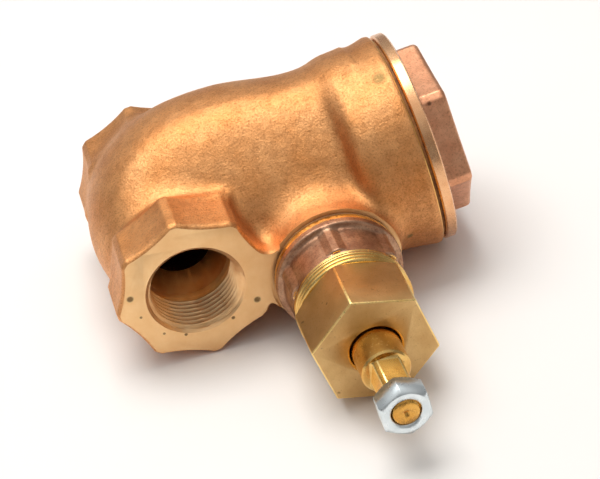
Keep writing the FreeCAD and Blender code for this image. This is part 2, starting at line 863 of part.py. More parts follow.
pieces = {
    "valve_body": valve_body(),
    "seat_ring": seat_ring(),
    "seat_disc": seat_disc(),
    "disc_holder": disc_holder(),
    "disc_washer": disc_washer(),
    "disc_screw": disc_screw(),
    "lift_stem": lift_stem(),
    "lift_collar": lift_collar(),
    "collar_jam_nut": jam_nut(),
    "lower_spring_plate": spring_plate("lower_plate", size("stem_radius"), lower_plate_front),
    "main_spring": main_spring(),
    "upper_spring_plate": spring_plate(
        "upper_plate", size("stem_radius") + size("running_clearance") * 6, spring_end
    ),
    "adjusting_ring": adjusting_ring(),
    "guide_bush": guide_bush(),
    "cap": cap(),
    "cap_gasket": cap_gasket(),
    "bonnet": bonnet(),
    "bonnet_gasket": bonnet_gasket(),
    "seal_ring": seal_ring(),
    "packing_nut": packing_nut(),
    "gland_follower": gland_follower(),
    "packing_washer": packing_washer(),
    "thrust_washer": thrust_washer(),
    "spindle": spindle(),
    "lift_finger": lift_finger(),
    "finger_pin": cross_pin_hole("finger_pin_rod"),
    "lever_nut": lever_nut(),
}
for number in range(PACKING_RINGS):
    pieces[f"packing_ring_{number + 1}"] = packing_ring(number)

doc.recompute()

for name, piece in pieces.items():
    piece.Label = name
doc.recompute()

faults = [item.Name for item in doc.Objects if "Invalid" in item.State or "Error" in item.State]
for name, piece in pieces.items():
    if piece.Shape.isNull() or not piece.Shape.isValid() or not piece.Shape.Solids:
        faults.append(name)
if faults:
    raise RuntimeError("these objects failed: " + ", ".join(sorted(set(faults))))

os.makedirs("parts", exist_ok=True)
for name, piece in pieces.items():
    piece.Shape.exportStep(f"parts/{name}.step")
    box = piece.Shape.BoundBox
    print(
        f"{name}: {len(piece.Shape.Solids)} solid, {piece.Shape.Volume:.1f} mm3, "
        f"X {box.XMin:.2f} {box.XMax:.2f}, Y {box.YMin:.2f} {box.YMax:.2f}, Z {box.ZMin:.2f} {box.ZMax:.2f}"
    )
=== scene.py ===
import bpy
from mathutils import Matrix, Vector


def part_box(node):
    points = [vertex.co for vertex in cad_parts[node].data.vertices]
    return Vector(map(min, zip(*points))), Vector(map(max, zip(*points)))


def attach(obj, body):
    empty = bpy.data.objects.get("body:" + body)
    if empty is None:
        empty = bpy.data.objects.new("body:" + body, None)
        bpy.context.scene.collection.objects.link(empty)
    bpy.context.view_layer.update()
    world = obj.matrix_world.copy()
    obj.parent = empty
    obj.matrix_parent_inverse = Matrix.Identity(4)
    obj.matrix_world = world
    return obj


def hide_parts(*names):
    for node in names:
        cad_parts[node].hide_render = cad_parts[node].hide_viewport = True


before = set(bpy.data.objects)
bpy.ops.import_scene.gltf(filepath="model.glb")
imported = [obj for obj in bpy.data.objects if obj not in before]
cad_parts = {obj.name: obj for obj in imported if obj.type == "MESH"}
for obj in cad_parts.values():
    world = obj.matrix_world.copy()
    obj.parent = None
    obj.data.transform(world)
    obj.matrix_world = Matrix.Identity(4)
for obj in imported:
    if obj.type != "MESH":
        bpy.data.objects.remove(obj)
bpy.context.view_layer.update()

import math

import bmesh
import bpy
import numpy as np
from mathutils import Matrix, Vector

# A cast bronze pressure relief valve. Lengths below are millimetres unless they say otherwise.
# X runs from the seat to the cap, Y from inlet to outlet, Z is up. The spindle is parallel to Y.

MM = 0.001
X, Y, Z = 0, 1, 2


def cad_box(node):
    """Lowest and highest corner of a CAD node, in millimetres."""
    low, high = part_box(node)
    return np.array(low) / MM, np.array(high) / MM


# ---- places and sizes that come from the frame ----

body_low, body_high = cad_box("valve_body")
cap_low, cap_high = cad_box("cap")
gasket_low, gasket_high = cad_box("cap_gasket")
bonnet_low, bonnet_high = cad_box("bonnet")
bonnet_gasket_low, bonnet_gasket_high = cad_box("bonnet_gasket")
seal_low, seal_high = cad_box("seal_ring")
nut_low, nut_high = cad_box("packing_nut")
spindle_low, spindle_high = cad_box("spindle")
lever_nut_low, lever_nut_high = cad_box("lever_nut")

MIDDLE_Y = (body_low[Y] + body_high[Y]) / 2
INLET_Y = body_low[Y]
OUTLET_Y = body_high[Y]
LIP_X = body_high[X]
LIP_RADIUS = body_high[Z]
TUBE_RADIUS = -body_low[X]
SPINDLE_X = (bonnet_low[X] + bonnet_high[X]) / 2
SPINDLE_Z = (bonnet_low[Z] + bonnet_high[Z]) / 2
BOSS_FACE_Y = bonnet_gasket_high[Y]
DISC_AXIS = (0.0, MIDDLE_Y, 0.0)
SPINDLE_AXIS = (SPINDLE_X, 0.0, SPINDLE_Z)


# ---- mesh building ----


def mesh_object(name, points, faces, smooth_angle=32):
    """A mesh piece from points in millimetres, smooth shaded except across sharp edges."""
    mesh = bpy.data.meshes.new(name)
    mesh.from_pydata((np.asarray(points, float) * MM).tolist(), [], faces)
    mesh.validate()
    mesh.update()
    piece = bpy.data.objects.new(name, mesh)
    bpy.context.scene.collection.objects.link(piece)
    shade(piece, smooth_angle)
    return piece


def shade(piece, smooth_angle):
    piece.data.shade_smooth()
    piece.data.set_sharp_from_angle(angle=math.radians(smooth_angle))


def axis_points(axis, centre, along, first, second):
    """Points from a distance along an axis and two distances across it."""
    others = {X: (Y, Z), Y: (Z, X), Z: (X, Y)}[axis]
    points = np.zeros(np.broadcast(along, first, second).shape + (3,))
    points[..., axis] = centre[axis] + along
    points[..., others[0]] = centre[others[0]] + first
    points[..., others[1]] = centre[others[1]] + second
    return points


def tube_faces(rings, segments, closed_profile):
    """Quads between rings of points; an open profile gets a cap at each end."""
    faces = []
    last = rings if closed_profile else rings - 1
    for i in range(last):
        k = (i + 1) % rings
        for j in range(segments):
            n = (j + 1) % segments
            faces.append((i * segments + j, k * segments + j, k * segments + n, i * segments + n))
    if not closed_profile:
        faces.append(tuple(reversed(range(segments))))
        faces.append(tuple(range((rings - 1) * segments, rings * segments)))
    return faces


def outward(piece):
    """Turns every face of a closed mesh outwards."""
    work = bmesh.new()
    work.from_mesh(piece.data)
    bmesh.ops.recalc_face_normals(work, faces=work.faces)
    work.to_mesh(piece.data)
    work.free()
    return piece


def soften(profile, radius, steps=4):
    """Replaces the corners of a closed profile by arcs. radius is one number, or one for each corner."""
    count = len(profile)
    radii = [radius] * count if np.isscalar(radius) else list(radius)
    result = []
    for i in range(count):
        before, here, after = (np.array(profile[k % count], float) for k in (i - 1, i, i + 1))
        to_before, to_after = before - here, after - here
        reach_before, reach_after = np.linalg.norm(to_before), np.linalg.norm(to_after)
        to_before, to_after = to_before / reach_before, to_after / reach_after
        half = math.acos(np.clip(to_before @ to_after, -1, 1)) / 2
        if radii[i] <= 0 or half < 0.05 or half > 1.52:
            result.append(tuple(here))
            continue
        setback = min(radii[i] / math.tan(half), reach_before * 0.45, reach_after * 0.45)
        start, end = here + to_before * setback, here + to_after * setback
        for share in np.linspace(0, 1, steps + 1):
            bend = (1 - share) ** 2 * start + 2 * share * (1 - share) * here + share**2 * end
            result.append(tuple(bend))
    return result


def lathe(name, profile, axis, centre, segments=144, smooth_angle=32):
    """A closed (along, radius) profile turned round an axis. Points on the axis close as a disc."""
    hollow = all(radius > 1e-6 for along, radius in profile)
    rows = [(along, max(radius, 0.0)) for along, radius in profile]
    if not hollow:
        rows = [row for row in rows if row[1] > 1e-6]
    angles = np.linspace(0, 2 * math.pi, segments, endpoint=False)
    along = np.array([row[0] for row in rows])[:, None]
    radius = np.array([row[1] for row in rows])[:, None]
    points = axis_points(axis, centre, along + 0 * angles, radius * np.cos(angles), radius * np.sin(angles))
    faces = tube_faces(len(rows), segments, hollow)
    return outward(mesh_object(name, points.reshape(-1, 3), faces, smooth_angle))


def threaded_rod(name, root, crest, pitch, start, length, axis, centre, segments=96, steps=12):
    """A closed rod with a helical V thread whose crests and roots are narrow flats."""
    angles = np.linspace(0, 2 * math.pi, segments, endpoint=False)
    along = np.linspace(0, length, int(length / pitch * steps) + 1)[:, None]
    phase = (along / pitch - angles / (2 * math.pi)) % 1.0
    wave = np.clip(1.35 * (1 - np.abs(2 * phase - 1)) - 0.17, 0, 1)
    radius = root + (crest - root) * wave
    across, up = radius * np.cos(angles), radius * np.sin(angles)
    points = axis_points(axis, centre, start + along + 0 * angles, across, up)
    faces = tube_faces(len(along), segments, False)
    return outward(mesh_object(name, points.reshape(-1, 3), faces, 20))


def prism(name, outline, start, end, axis, centre, smooth_angle=32):
    """A straight prism of a closed outline given across its axis."""
    outline = np.array(outline)
    first, second = outline[:, 0], outline[:, 1]
    rows = [axis_points(axis, centre, along + 0 * first, first, second) for along in (start, end)]
    faces = tube_faces(2, len(outline), False)
    return outward(mesh_object(name, np.concatenate(rows), faces, smooth_angle))


def polygon(sides, across_corners_radius, first_corner_degrees):
    """Corners of a regular polygon, the first at an angle."""
    turn = math.radians(first_corner_degrees)
    angles = [turn + 2 * math.pi * k / sides for k in range(sides)]
    return [(across_corners_radius * math.cos(a), across_corners_radius * math.sin(a)) for a in angles]


def combine(piece, tools, operation, materials, cut_material=1):
    """Boolean of a piece with closed tool meshes, which are used up. New faces get the cut material."""
    if not piece.data.materials:
        for material in materials:
            piece.data.materials.append(material)
    for tool in tools:
        tool.data.materials.clear()
        for material in materials:
            tool.data.materials.append(material)
        tool.data.polygons.foreach_set("material_index", [cut_material] * len(tool.data.polygons))
        step = piece.modifiers.new("cut", "BOOLEAN")
        step.object = tool
        step.operation = operation
        step.solver = "MANIFOLD"
        graph = bpy.context.evaluated_depsgraph_get()
        mesh = bpy.data.meshes.new_from_object(piece.evaluated_get(graph))
        piece.modifiers.clear()
        old = piece.data
        piece.data = mesh
        bpy.data.meshes.remove(old)
        bpy.data.objects.remove(tool)
    return piece


# ---- cast shapes as distance fields, so that every blend is one smooth skin ----


def blend_min(first, second, reach):
    """Union of two distance fields with a fillet of about that reach."""
    share = np.clip(0.5 + 0.5 * (second - first) / reach, 0, 1)
    return second + (first - second) * share - reach * share * (1 - share)


def split_axis(points, axis, centre):
    """Distance along an axis and the two distances across it."""
    others = {X: (Y, Z), Y: (Z, X), Z: (X, Y)}[axis]
    shifted = [points[..., k] - centre[k] for k in (X, Y, Z)]
    return shifted[axis], shifted[others[0]], shifted[others[1]]


def capped(side, along, start, end, rounding):
    """A field with a given side distance, cut square at two ends, its end edges rounded."""
    middle, half = (start + end) / 2, (end - start) / 2
    across = side + rounding
    past = np.abs(along - middle) - (half - rounding)
    inside = np.minimum(np.maximum(across, past), 0)
    return inside + np.hypot(np.maximum(across, 0), np.maximum(past, 0)) - rounding


def rod_field(points, axis, centre, radius, start, end, rounding):
    along, first, second = split_axis(points, axis, centre)
    return capped(np.hypot(first, second) - radius, along, start, end, rounding)


def polygon_field(first, second, sides, flat_radius, corner_rounding, hollow, first_corner_degrees):
    """Distance to a regular polygon with rounded corners and slightly hollow sides."""
    half_angle = math.pi / sides
    angle = np.arctan2(second, first) - math.radians(first_corner_degrees) - half_angle
    angle = (angle + half_angle) % (2 * half_angle) - half_angle
    reach = np.hypot(first, second)
    out, aside = reach * np.cos(angle), np.abs(reach * np.sin(angle))
    flat = flat_radius - corner_rounding
    half_side = flat * math.tan(half_angle)
    dish = hollow * np.clip(1 - (aside / half_side) ** 2, 0, 1)
    past = out - (flat - dish)
    corner = np.hypot(np.maximum(past, 0), np.maximum(aside - half_side, 0))
    return np.where(past > 0, corner, past) - corner_rounding


CUBE_EDGES = [(a, b) for a in range(8) for b in range(8) if a < b and bin(a ^ b).count("1") == 1]


def skin(field, low, high, step):
    """Points and quads on the surface where a distance field is zero."""
    axes = [np.arange(low[k], high[k] + step, step) for k in range(3)]
    grid = np.stack(np.meshgrid(*axes, indexing="ij"), -1)
    value = np.stack([field(slab) for slab in grid])
    size = np.array(value.shape) - 1
    corner = [
        value[i : i + size[0], j : j + size[1], k : k + size[2]]
        for i in (0, 1) for j in (0, 1) for k in (0, 1)
    ]
    inside = [c < 0 for c in corner]
    mixed = np.any(inside, 0) & ~np.all(inside, 0)
    cells = np.argwhere(mixed)
    number = np.full(mixed.shape, -1)
    number[mixed] = np.arange(len(cells))
    offsets = np.array([(i, j, k) for i in (0, 1) for j in (0, 1) for k in (0, 1)], float)
    total, count = np.zeros((len(cells), 3)), np.zeros(len(cells))
    for a, b in CUBE_EDGES:
        first, second = corner[a][mixed], corner[b][mixed]
        crossed = (first < 0) != (second < 0)
        share = np.where(crossed, first / np.where(crossed, first - second, 1), 0)
        spot = offsets[a] + (offsets[b] - offsets[a]) * share[:, None]
        total += spot * crossed[:, None]
        count += crossed
    points = low + (cells + total / count[:, None]) * step
    quads = []
    for axis in range(3):
        ahead = [slice(1, -1)] * 3
        ahead[axis] = slice(0, -1)
        behind = [slice(1, -1)] * 3
        behind[axis] = slice(1, None)
        first, second = value[tuple(ahead)] < 0, value[tuple(behind)] < 0
        spots = np.argwhere(first != second)
        flip = first[first != second]
        for k in range(3):
            if k != axis:
                spots[:, k] += 1
        u, v = (axis + 1) % 3, (axis + 2) % 3
        ring = []
        for du, dv in ((0, 0), (-1, 0), (-1, -1), (0, -1)):
            cell = spots.copy()
            cell[:, u] += du
            cell[:, v] += dv
            ring.append(number[tuple(cell.T)])
        quad = np.stack(ring, 1)
        quad[~flip] = quad[~flip][:, ::-1]
        quads.append(quad)
    quads = np.concatenate(quads)
    for round_number in range(3):
        distance = field(points)
        slope = np.stack(
            [field(points + offset) - field(points - offset) for offset in np.eye(3) * 0.05], -1
        ) / 0.1
        points = points - distance[:, None] * slope / np.maximum((slope**2).sum(-1), 0.2)[:, None]
    return points, quads.tolist()


def cast(name, field, low, high, step):
    points, quads = skin(field, np.array(low, float), np.array(high, float), step)
    return outward(mesh_object(name, points, quads, 60))


# ---- materials ----


def colour(red, green, blue):
    """Scene colour from the 0 to 255 values of a paint chart."""
    chart = [value / 255 for value in (red, green, blue)]
    return [v / 12.92 if v < 0.04 else ((v + 0.055) / 1.055) ** 2.4 for v in chart] + [1.0]


class Look:
    """A procedural material whose nodes are fed from each piece's own coordinates."""

    def __init__(self, name, metallic=1.0):
        self.material = bpy.data.materials.new(name)
        self.material.use_nodes = True
        self.tree = self.material.node_tree
        self.shader = self.tree.nodes["Principled BSDF"]
        self.shader.inputs["Metallic"].default_value = metallic
        self.place = self.tree.nodes.new("ShaderNodeTexCoord").outputs["Object"]

    def node(self, kind, inputs, output=0, **settings):
        node = self.tree.nodes.new(kind)
        for key, value in settings.items():
            setattr(node, key, value)
        for key, value in inputs.items():
            if isinstance(value, bpy.types.NodeSocket):
                self.tree.links.new(value, node.inputs[key])
            else:
                node.inputs[key].default_value = value
        return node.outputs[output]

    def noise(self, size, detail=3.0, roughness=0.55, place=None, stretch=None, shift=0.0):
        """Cloudy pattern whose blotches are about this many millimetres."""
        place = place or self.place
        scale = [1.0 / (size * MM)] * 3 if stretch is None else [s / (size * MM) for s in stretch]
        mapped = self.node("ShaderNodeMapping", {"Vector": place, "Scale": scale, "Location": [shift] * 3})
        return self.node(
            "ShaderNodeTexNoise", {"Vector": mapped, "Scale": 1.0, "Detail": detail, "Roughness": roughness}
        )

    def level(self, value, low, high, out_low=0.0, out_high=1.0):
        return self.node(
            "ShaderNodeMapRange",
            {"Value": value, "From Min": low, "From Max": high, "To Min": out_low, "To Max": out_high},
        )

    def mix(self, share, first, second, blend="MIX"):
        node = self.tree.nodes.new("ShaderNodeMix")
        node.data_type = "RGBA"
        node.blend_type = blend
        for socket, value in ((node.inputs[0], share), (node.inputs[6], first), (node.inputs[7], second)):
            if isinstance(value, bpy.types.NodeSocket):
                self.tree.links.new(value, socket)
            else:
                socket.default_value = value
        return node.outputs[2]

    def calculate(self, operation, first, second):
        return self.node("ShaderNodeMath", {0: first, 1: second}, operation=operation)

    def spots(self, centres):
        """One inside soft round marks, given as a centre and a radius in millimetres."""
        ragged = self.noise(0.7, 2.0, shift=3.0)
        total = 0.0
        for centre, radius in centres:
            away = self.node(
                "ShaderNodeVectorMath", {0: self.place, 1: [c * MM for c in centre]}, 1, operation="DISTANCE"
            )
            mark = self.level(away, radius * MM * 1.15, radius * MM * 0.7)
            mark = self.calculate("MULTIPLY", mark, self.level(ragged, 0.2, 0.5, 0.5, 1.0))
            total = mark if isinstance(total, float) else self.calculate("MAXIMUM", total, mark)
        return total

    def from_axis(self, axis, centre):
        """Distance from a line, so that turning marks run round it."""
        flat = [1.0, 1.0, 1.0]
        flat[axis] = 0.0
        moved = self.node("ShaderNodeMapping", {"Vector": self.place, "Location": [-c * MM for c in centre]})
        thin = self.node("ShaderNodeVectorMath", {0: moved, 1: flat}, operation="MULTIPLY")
        return self.node("ShaderNodeVectorMath", {0: thin}, 1, operation="LENGTH")

    def finish(self, base, roughness, heights):
        """Sets the shader; heights are (pattern, depth in millimetres) pairs laid over each other."""
        self.tree.links.new(base, self.shader.inputs["Base Color"])
        if isinstance(roughness, bpy.types.NodeSocket):
            self.tree.links.new(roughness, self.shader.inputs["Roughness"])
        else:
            self.shader.inputs["Roughness"].default_value = roughness
        normal = None
        for height, depth in heights:
            inputs = {"Height": height, "Distance": depth * MM, "Strength": 1.0}
            if normal is not None:
                inputs["Normal"] = normal
            normal = self.node("ShaderNodeBump", inputs)
        if normal is not None:
            self.tree.links.new(normal, self.shader.inputs["Normal"])
        return self.material


def sand_cast(
    name, light, middle, dark, roughness=0.46, grain=0.6, depth=0.16, marks=(), mark=None, patch=9.0
):
    """Sand cast bronze: fine raised grain, cloudy tone and a few stains."""
    look = Look(name)
    cloud = look.level(look.noise(patch, 4.0), 0.32, 0.68)
    speck = look.noise(grain * 0.9, 3.0, 0.7, shift=5.0)
    streak = look.level(look.noise(2.6, 3.0, shift=9.0), 0.35, 0.7)
    base = look.mix(cloud, middle, light)
    base = look.mix(look.calculate("MULTIPLY", streak, 0.28), base, dark)
    base = look.mix(look.level(speck, 0.50, 0.68, 0.0, 0.5), base, dark)
    base = look.mix(look.level(speck, 0.42, 0.30, 0.0, 0.35), base, light)
    if marks:
        base = look.mix(look.calculate("MULTIPLY", look.spots(marks), 0.75), base, mark)
    sheen = look.calculate("ADD", look.level(speck, 0.3, 0.7, -0.07, 0.09), roughness)
    fine = look.noise(grain, 4.0, 0.75)
    coarse = look.noise(grain * 5, 2.0, 0.5, shift=2.0)
    return look.finish(base, sheen, [(coarse, depth * 1.0), (fine, depth * 0.9)])


def machined(name, light, dark, roughness, axis, centre, ring=0.35, depth=0.012, marks=(), mark=None):
    """Turned metal with faint rings round an axis and handling marks."""
    look = Look(name)
    distance = look.from_axis(axis, centre)
    line = look.node("ShaderNodeCombineXYZ", {"X": distance})
    rings = look.noise(ring, 2.0, 0.6, place=line)
    cloud = look.level(look.noise(7.0, 4.0, shift=4.0), 0.3, 0.7)
    dust = look.noise(0.8, 3.0, 0.7, shift=1.0)
    base = look.mix(cloud, dark, light)
    base = look.mix(look.level(dust, 0.62, 0.78, 0.0, 0.4), base, dark)
    if marks:
        base = look.mix(look.calculate("MULTIPLY", look.spots(marks), 0.85), base, mark)
    gloss = look.calculate("ADD", look.level(dust, 0.3, 0.7, -0.04, 0.07), roughness)
    return look.finish(base, gloss, [(rings, depth), (dust, depth * 0.8)])


def etched(name, light, dark, spot, roughness, spot_share=0.62, depth=0.05):
    """Brass bar that has dulled, with fine dark specks."""
    look = Look(name)
    cloud = look.level(look.noise(6.0, 4.0), 0.3, 0.7)
    specks = look.level(look.noise(0.55, 3.0, 0.7, shift=2.0), spot_share, spot_share + 0.1)
    blots = look.level(look.noise(2.2, 2.0, 0.5, shift=7.0), 0.70, 0.76)
    base = look.mix(cloud, dark, light)
    base = look.mix(look.calculate("MULTIPLY", specks, 0.6), base, spot)
    base = look.mix(look.calculate("MULTIPLY", blots, 0.6), base, spot)
    fine = look.noise(0.5, 3.0, 0.7)
    gloss = look.calculate("ADD", look.level(fine, 0.3, 0.7, -0.06, 0.08), roughness)
    return look.finish(base, gloss, [(look.noise(3.0, 2.0), depth * 1.5), (fine, depth)])


def dull(name, light, dark, roughness, size=1.2, depth=0.05, metallic=0.0, stretch=None):
    """A plain fibre, rubber or plated finish with a small scale grain."""
    look = Look(name, metallic)
    grain = look.noise(size, 4.0, 0.65, stretch=stretch)
    cloud = look.level(look.noise(size * 6, 3.0, shift=3.0), 0.3, 0.7)
    base = look.mix(cloud, dark, light)
    base = look.mix(look.level(grain, 0.4, 0.65, 0.0, 0.5), base, dark)
    gloss = look.calculate("ADD", look.level(grain, 0.3, 0.7, -0.05, 0.08), roughness)
    return look.finish(base, gloss, [(grain, depth)])


BODY_STAINS = [
    ((39.0, 25.5, 27.5), 1.9), ((66.7, 23.0, 27.5), 2.4), ((62.9, 9.3, 17.2), 0.5), ((63.0, 8.6, 16.3), 0.5),
    ((60.4, 6.5, -12.4), 1.1), ((69.3, 5.3, -9.6), 0.9), ((43.0, 17.0, 21.0), 1.6),
]
FACE_STAINS = [
    ((-17.2, 0.0, 5.0), 0.95), ((14.7, 0.0, -10.0), 0.95), ((-16.3, 0.0, -1.9), 0.4),
    ((-12.1, 0.0, -9.7), 0.4), ((6.9, 0.0, -12.9), 0.55), ((-6.7, 0.0, -12.6), 0.5),
]
CAP_SCRATCHES = [
    ((77.1, 17.7, 18.5), 0.7), ((78.7, 15.1, 16.0), 0.9), ((80.1, 12.7, 12.8), 0.6),
    ((77.5, 16.0, 17.5), 0.8),
]

cast_bronze = sand_cast(
    "sand cast bronze", colour(234, 172, 114), colour(220, 152, 92), colour(146, 88, 46),
    marks=BODY_STAINS, mark=colour(118, 108, 66),
)
cap_bronze = sand_cast(
    "cast cap bronze", colour(236, 178, 140), colour(222, 158, 120), colour(150, 92, 62), 0.42, 0.7, 0.10,
    marks=CAP_SCRATCHES, mark=colour(58, 24, 12), patch=5.0,
)
bonnet_bronze = sand_cast(
    "oxidised bonnet bronze", colour(206, 164, 132), colour(168, 124, 98), colour(92, 58, 44),
    0.42, 0.6, 0.08, patch=3.5,
)
face_bronze = machined(
    "machined port face", colour(252, 212, 158), colour(242, 196, 140), 0.5, Y, (0, 0, 0), 0.5, 0.006,
    marks=FACE_STAINS, mark=colour(96, 76, 48),
)
# Inside of the chambers and throat: raw cast grain, with a dark base colour that is painted shade for the
# hollows.
painted_shade_inner_bronze = sand_cast(
    "raw inner bronze with painted shade", colour(96, 58, 34), colour(72, 42, 26), colour(36, 20, 14), 0.6
)
bore_bronze = machined(
    "cut thread bronze", colour(255, 216, 164), colour(240, 186, 128), 0.38, Y, (0, 0, 0), 0.4, 0.01
)
lip_bronze = machined("turned lip bronze", colour(250, 208, 128), colour(226, 168, 90), 0.3, X, DISC_AXIS)
cap_rim = machined(
    "turned cap rim", colour(248, 196, 148), colour(226, 164, 116), 0.24, X, DISC_AXIS, 0.3, 0.01
)
turned_brass = machined(
    "turned brass", colour(250, 214, 136), colour(220, 168, 92), 0.22, Y, SPINDLE_AXIS, 0.3
)
shaft_brass = machined(
    "shaft brass", colour(232, 178, 92), colour(206, 146, 66), 0.26, Y, SPINDLE_AXIS, 0.3, 0.008
)
bore_brass = machined("nut bore brass", colour(226, 160, 76), colour(180, 112, 44), 0.3, Y, SPINDLE_AXIS)
# The stud end gets a dark base colour: painted shade where it sits in the lever nut's hole, darker than the
# other brass.
painted_shade_stud_brass = machined("stud brass with painted shade", colour(128, 84, 46), colour(84, 50, 24), 0.42, Y, SPINDLE_AXIS)
nut_brass = etched(
    "dulled nut brass", colour(220, 184, 128), colour(202, 162, 106), colour(112, 74, 36), 0.42
)
worn_edge = etched(
    "worn brass edge", colour(252, 222, 152), colour(240, 200, 124), colour(190, 140, 78), 0.3, 0.7
)
zinc_plate = dull("zinc plating", colour(240, 247, 250), colour(214, 224, 228), 0.3, 1.6, 0.02, 1.0)
gasket_fibre = dull("gasket fibre", colour(176, 120, 62), colour(110, 68, 34), 0.7, 0.5, 0.05)
packing_fibre = dull("graphite packing", colour(66, 64, 62), colour(34, 33, 32), 0.6, 0.6, 0.06)
seat_rubber = dull("seat rubber", colour(44, 42, 40), colour(24, 23, 22), 0.55, 0.9, 0.02)
spring_steel = dull("spring steel", colour(150, 152, 156), colour(104, 104, 108), 0.34, 0.8, 0.01, 1.0)


# ---- the body: one casting, then machined ----

BARREL_RADIUS = LIP_RADIUS - 1.7
BARREL_START = 52.0
FLARE_START = 55.0
TUBE_CENTRE = (0.0, MIDDLE_Y, 0.0)
TUBE_LEAN = (2.2, 2.8)
FLANK_FACING = (-0.72, 0.694)
FLANK_DISTANCE = 23.4
TUBE_END_RADIUS = 21.4
PORT_RUN_RADIUS = 20.2
TUBE_WIDE_RADIUS = 25.6
BULGE_CENTRE = (15.4, 38.8, 2.2)
BULGE_HALF = (34.2, 26.0, 28.4)
BULGE_POWER = 2.25
BOSS_LENGTH = 16.0
BOSS_FLAT_RADIUS = 20.9
BOSS_CORNER = 3.0
BOSS_HOLLOW = 0.7
NECK_RADIUS = 18.5
SPINDLE_BOSS_RADIUS = 18.6
SPINDLE_BOSS_END = 24.0
CASTING_STEP = 0.6


def smooth(value, start, end):
    share = np.clip((value - start) / (end - start), 0, 1)
    return share * share * (3 - 2 * share)


def shell_field(points):
    """The bulging chamber, the tube along the disc axis and the barrel that flares to the lip."""
    offsets = [np.abs(points[..., k] - BULGE_CENTRE[k]) / BULGE_HALF[k] for k in (X, Y, Z)]
    spread = sum(offset**BULGE_POWER for offset in offsets) ** (1 / BULGE_POWER)
    bulge = (spread - 1) * min(BULGE_HALF)
    along, across, up = split_axis(points, X, TUBE_CENTRE)
    radius = np.hypot(across, up)
    lean = smooth(along, 4, 26)
    leaning = np.hypot(across - TUBE_LEAN[0] * lean, up - TUBE_LEAN[1] * lean)
    tube_radius = TUBE_END_RADIUS + (TUBE_WIDE_RADIUS - TUBE_END_RADIUS) * lean
    tube = np.hypot(leaning, np.minimum(along, 0)) - tube_radius
    tube = np.maximum(tube, along - 60)
    port_run = rod_field(points, Y, (0, 0, 0), PORT_RUN_RADIUS, 15, 53, 8)
    flare = np.clip((along - FLARE_START) / (LIP_X - 1.5 - FLARE_START), 0, 1) ** 2
    barrel_radius = BARREL_RADIUS + (LIP_RADIUS - 0.05 - BARREL_RADIUS) * flare
    barrel = capped(radius - barrel_radius, along, BARREL_START, LIP_X + 3, 4.5)
    chamber = blend_min(blend_min(tube, port_run, 6), bulge, 6)
    flank = (points[..., Y] - MIDDLE_Y) * FLANK_FACING[0] + points[..., Z] * FLANK_FACING[1] - FLANK_DISTANCE
    chamber = -blend_min(-chamber, -flank, 5)
    return blend_min(chamber, barrel, 5)


def boss_field(points, start, end):
    along, across, up = split_axis(points, Y, (0, 0, 0))
    octagon = polygon_field(across, up, 8, BOSS_FLAT_RADIUS, BOSS_CORNER, BOSS_HOLLOW, 90)
    rounded = np.maximum(octagon, np.hypot(across, up) - 22.2)
    return capped(rounded, along, start, end, 1.8)


def casting_field(points):
    inlet = boss_field(points, INLET_Y - 0.3, INLET_Y + BOSS_LENGTH)
    outlet = boss_field(points, OUTLET_Y - BOSS_LENGTH, OUTLET_Y + 0.3)
    neck = rod_field(points, Y, (0, 0, 0), NECK_RADIUS, INLET_Y + 4, OUTLET_Y - 4, 3)
    ports = blend_min(np.minimum(inlet, outlet), neck, 2.5)
    spindle_boss = rod_field(
        points, Y, SPINDLE_AXIS, SPINDLE_BOSS_RADIUS, BOSS_FACE_Y - 3, SPINDLE_BOSS_END, 2
    )
    body = blend_min(shell_field(points), ports, 4.5)
    return blend_min(body, spindle_boss, 6)


def drill(name, radius, start, end, axis, centre):
    return lathe(name, [(start, 0), (start, radius), (end, radius), (end, 0)], axis, centre, 128)


PORT_BORE = 12.1
PORT_THREAD_CREST = 13.35
PORT_THREAD_PITCH = 1.814
PORT_THREAD_LENGTH = 13.0
PORT_GROOVE_WIDTH = 3.0
PORT_GROOVE_RADIUS = 13.4
THROAT_RADIUS = 9.0
INLET_CONE_LENGTH = 7.6
OUTLET_CONE_LENGTH = 3.0
MOUTH_BEVEL = 1.7
PASSAGE_RADIUS = 6
PASSAGE_LENGTH = 28
PASSAGE_LEAN = -12
PASSAGE_Y = 53
INLET_CHAMBER_RADIUS = 10
SEAT_HOLE_RADIUS = 12
SPRING_CHAMBER_RADIUS = 20.5
BARREL_BORE_RADIUS = 24.8
BONNET_HOLE_RADIUS = 13


def port_cutters(face, inward, cone_length):
    """Mouth bevel, thread, clearance groove and cone of one port."""
    centre = (0, face, 0)
    groove = PORT_THREAD_LENGTH + PORT_GROOVE_WIDTH
    cone_end = groove + cone_length

    def along(depth):
        return depth * inward

    bevel_mouth = PORT_BORE + MOUTH_BEVEL
    bevel = [
        (along(-1), 0), (along(-1), bevel_mouth + 1), (along(MOUTH_BEVEL), PORT_BORE),
        (along(MOUTH_BEVEL), 0),
    ]
    cone = [
        (along(groove - 0.2), 0), (along(groove - 0.2), PORT_BORE), (along(cone_end), THROAT_RADIUS),
        (along(cone_end), 0),
    ]
    thread_start = -1 if inward > 0 else -PORT_THREAD_LENGTH - 1
    return [
        threaded_rod(
            "thread_cut", PORT_BORE, PORT_THREAD_CREST, PORT_THREAD_PITCH, thread_start,
            PORT_THREAD_LENGTH + 2, Y, centre,
        ),
        lathe("bevel_cut", bevel, Y, centre),
        drill("groove_cut", PORT_GROOVE_RADIUS, along(PORT_THREAD_LENGTH), along(groove), Y, centre),
        lathe("cone_cut", cone, Y, centre),
    ]


